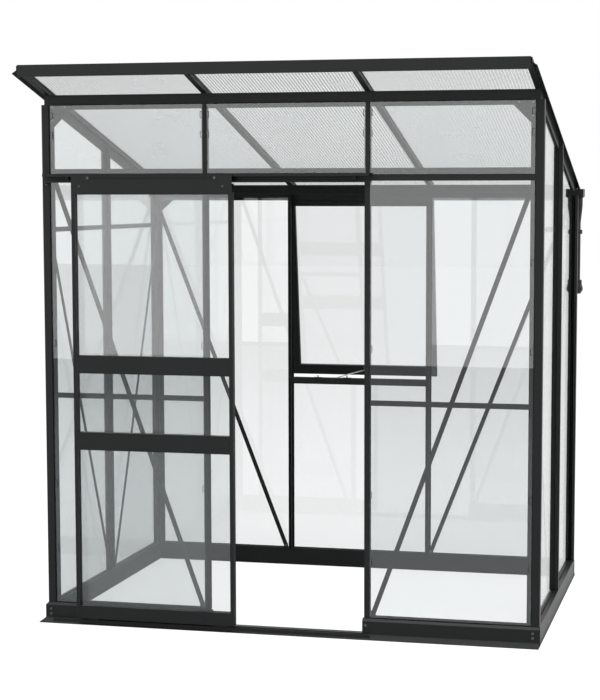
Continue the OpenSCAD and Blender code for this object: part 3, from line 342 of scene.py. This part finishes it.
def scatter_tree():
    """Geometry nodes that set one shape on every point, along the point's own direction."""
    tree = bpy.data.node_groups.new("shape_on_points", "GeometryNodeTree")
    for way, name, kind in (("INPUT", "Points", "Geometry"), ("INPUT", "Shape", "Object"),
                            ("INPUT", "Finish", "Material"), ("INPUT", "Seed", "Int"),
                            ("OUTPUT", "Geometry", "Geometry")):
        tree.interface.new_socket(name=name, in_out=way, socket_type="NodeSocket" + kind)
    given = add_node(tree, "NodeGroupInput")
    facing = add_node(tree, "GeometryNodeInputNamedAttribute",
                      {".data_type": "FLOAT_VECTOR", "Name": "facing"})
    align = add_node(tree, "FunctionNodeAlignRotationToVector", {".axis": "Z"},
                     {"Vector": facing.outputs["Attribute"]})
    turn = add_node(tree, "FunctionNodeRandomValue", {".data_type": "FLOAT", 2: 0.0, 3: math.tau},
                    {"Seed": given.outputs["Seed"]})
    spin = add_node(tree, "FunctionNodeAxisAngleToRotation", {"Axis": (0, 0, 1)},
                    {"Angle": turn.outputs[1]})
    both = add_node(tree, "FunctionNodeRotateRotation", {".rotation_space": "LOCAL"},
                    {"Rotation": align.outputs[0], "Rotate By": spin.outputs[0]})
    shape = add_node(tree, "GeometryNodeObjectInfo", {}, {"Object": given.outputs["Shape"]})
    spread = add_node(tree, "GeometryNodeInstanceOnPoints", {},
                      {"Points": given.outputs["Points"], "Instance": shape.outputs["Geometry"],
                       "Rotation": both.outputs[0]})
    real = add_node(tree, "GeometryNodeRealizeInstances", {}, {"Geometry": spread.outputs[0]})
    painted = add_node(tree, "GeometryNodeSetMaterial", {},
                       {"Geometry": real.outputs[0], "Material": given.outputs["Finish"]})
    add_node(tree, "NodeGroupOutput", {}, {"Geometry": painted.outputs[0]})
    return tree


def add_piece(name, mesh, body):
    """A piece that the solids leave out, riding on its body, with the finish that its mesh already
    carries.
    """
    piece = bpy.data.objects.new(name, mesh)
    scene.collection.objects.link(piece)
    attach(piece, body)


shape_on_points = scatter_tree()


def scatter(name, body, shape_mesh, finish, places, seed):
    """One steel piece with the shape set on every place, each place a point and a direction."""
    source = bpy.data.objects.new(name + "_shape", shape_mesh)
    points = bpy.data.meshes.new(name + "_points")
    points.from_pydata([point for point, direction in places], [], [])
    facing = points.attributes.new("facing", "FLOAT_VECTOR", "POINT")
    for item, (point, direction) in zip(facing.data, places):
        item.vector = direction
    holder = bpy.data.objects.new(name + "_points", points)
    scene.collection.objects.link(holder)
    modifier = holder.modifiers.new("scatter", "NODES")
    modifier.node_group = shape_on_points
    chosen = {"Shape": source, "Finish": finish, "Seed": seed}
    for item in shape_on_points.interface.items_tree:
        if item.in_out == "INPUT" and item.name in chosen:
            modifier[item.identifier] = chosen[item.name]
    ready = holder.evaluated_get(bpy.context.evaluated_depsgraph_get())
    mesh = bpy.data.meshes.new_from_object(ready)
    bpy.data.objects.remove(holder)
    bpy.data.objects.remove(source)
    add_piece(name, mesh, body)


screw_r, screw_socket_r = 0.0042, 0.0017
screw_head = turned("screw_head", [(screw_r, 0), (screw_r, 0.0010), (screw_r * 0.86, 0.0020),
                                   (screw_socket_r * 1.25, 0.0026), (screw_socket_r, 0.0024),
                                   (screw_socket_r, 0.0008)], count=12)
bolt_r, bolt_socket_r = 0.0056, 0.0022
bolt_head = turned("bolt_head", [(bolt_r, 0), (bolt_r, 0.0012), (0.0048, 0.0026), (0.0026, 0.0033),
                                 (bolt_socket_r, 0.0030), (bolt_socket_r, 0.0010)], count=16)

front, back = (0, -1, 0), (0, 1, 0)
sides = (-1, 1)
# Every head is let this far into the metal, so that no gap shows under it.
sunk = 0.0002

sill_low, sill_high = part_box("door_sill")
base_face = sill_low[1] + sunk
left_end, right_end = -0.940, 0.930
left_heights, right_heights = (0.051, 0.032), (0.053, 0.036)
sill_gap, sill_bolt_z = 0.011, 0.051
base_places = [(left_end, z) for z in left_heights] + [(right_end, z) for z in right_heights]
base_places += [(sill_high[0] + sill_gap, sill_bolt_z), (sill_low[0] - sill_gap, sill_bolt_z)]
base_bolts = [((x, base_face, z), front) for x, z in base_places]

front_brace, rear_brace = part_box("braces_front")[1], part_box("braces_rear")[1]
front_brace_face = front_brace[1] - sunk
rear_brace_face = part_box("braces_rear")[0][1] + sunk
foot_z = 0.090
rear_feet, front_feet = (-0.329, 0.329), (-0.341, 0.327)
foot_bolts = [((x, rear_brace_face, foot_z), front) for x in rear_feet]
foot_bolts += [((x, front_brace_face, foot_z), back) for x in front_feet]
scatter("frame_bolts", "frame", bolt_head, oxide, base_bolts + foot_bolts, seed=3)

post_screw_x, post_screw_z = -0.936, 1.687
scatter("post_screw", "frame", screw_head, oxide, [((post_screw_x, sunk, post_screw_z), front)], seed=7)

gusset_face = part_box("gussets")[0][1] + sunk
gusset_in, gusset_out, gusset_top, gusset_low = 0.862, 0.912, 1.978, 1.930
scatter("gusset_screws", "frame", screw_head, bright,
        [((side * x, gusset_face, z), front) for side in sides
         for x, z in ((gusset_in, gusset_top), (gusset_out, gusset_top), (gusset_out, gusset_low))],
        seed=4)

brace_inset = 0.009
brace_heads = [((side * (top[0] - brace_inset), face, top[2] - brace_inset), facing)
               for top, face, facing in ((front_brace, front_brace_face, back),
                                         (rear_brace, rear_brace_face, front))
               for side in sides]
scatter("brace_screws", "frame", screw_head, oxide, brace_heads, seed=6)

hanger_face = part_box("door_hanger")[0][1] + sunk
hanger_ends, hanger_screw_z = (-0.791, -0.229), 1.680
scatter("hanger_screws", "door", screw_head, oxide,
        [((x, hanger_face, hanger_screw_z), front) for x in hanger_ends], seed=5)


# Corner plates. Triangles cut from 2 mm aluminium sheet, set into the corners between the rear posts and
# the eave beam to stiffen them; coated like the frame.
def cut_plates(name, outlines, face_y, thick):
    """A coated piece of plates, each cut to an outline of x and z, with its front at y and soft edges."""
    shape = bmesh.new()
    for outline in outlines:
        low = [shape.verts.new((x, face_y, z)) for x, z in outline]
        high = [shape.verts.new((x, face_y + thick, z)) for x, z in outline]
        shape.faces.new(low)
        shape.faces.new(high[::-1])
        for k in range(len(outline)):
            after = (k + 1) % len(outline)
            shape.faces.new((low[k], high[k], high[after], low[after]))
    soft_edge = 0.0003
    bmesh.ops.bevel(shape, geom=shape.edges[:], offset=soft_edge, segments=1, affect="EDGES")
    bmesh.ops.recalc_face_normals(shape, faces=shape.faces[:])
    mesh = bpy.data.meshes.new(name)
    shape.to_mesh(mesh)
    shape.free()
    mesh.materials.append(powder_coat)
    add_piece(name, mesh, "frame")


post_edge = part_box("post_rear_left")[1][0]
eave_low, eave_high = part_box("eave_beam")
plate_w, plate_h, plate_end = 0.047, 0.042, 0.003
plate_behind, plate_thick = 0.012, 0.002
tucked = 0.001
plate_top = eave_low[2] + tucked
triangle = [(post_edge - tucked, plate_top), (post_edge + plate_w, plate_top),
            (post_edge + plate_w, eave_low[2] - plate_end), (post_edge + plate_end, eave_low[2] - plate_h),
            (post_edge - tucked, eave_low[2] - plate_h)]
cut_plates("corner_plates", [triangle, [(-x, z) for x, z in triangle]], eave_high[1] - plate_behind,
           plate_thick)


# Glazing clips. Small U-shaped springs of black wire press the panes of the front wall against the
# bars; they lie on the outside of the panes and hook in under the caps.
def clip_outline(edge, side, reach, low, high):
    """A U whose ends lie under a cap's edge and that reaches out from it to the given side."""
    inner, outer = edge - side * hooked, edge + side * reach
    return [(inner, low), (outer, low), (outer, high), (inner, high), (inner, high - wire),
            (outer - side * wire, high - wire), (outer - side * wire, low + wire), (inner, low + wire)]


def clip_row(edge, side, reach, heights):
    """The outlines of clips centred at these heights along one edge of a cap."""
    return [clip_outline(edge, side, reach, z - clip_h / 2, z + clip_h / 2) for z in heights]


wire, clip_h, hooked = 0.0015, 0.024, 0.002
post_reach, bar_reach = 0.009, 0.0045
post_cap_edge = 0.918
bar_low, bar_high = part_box("bar_front_right")
upper_clips, middle_clips, lower_clips = (1.945, 1.872), (1.405, 0.863), (1.084, 0.541, 0.290)
clips = clip_row(-post_cap_edge, 1, post_reach, upper_clips + lower_clips)
clips += clip_row(post_cap_edge, -1, post_reach, upper_clips + middle_clips + lower_clips)
for side in sides:
    clips += clip_row(side * bar_low[0], -side, bar_reach, upper_clips)
    clips += clip_row(side * bar_high[0], side, bar_reach, upper_clips + lower_clips)
cut_plates("glazing_clips", clips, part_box("glass_transom")[0][1] - wire, wire)
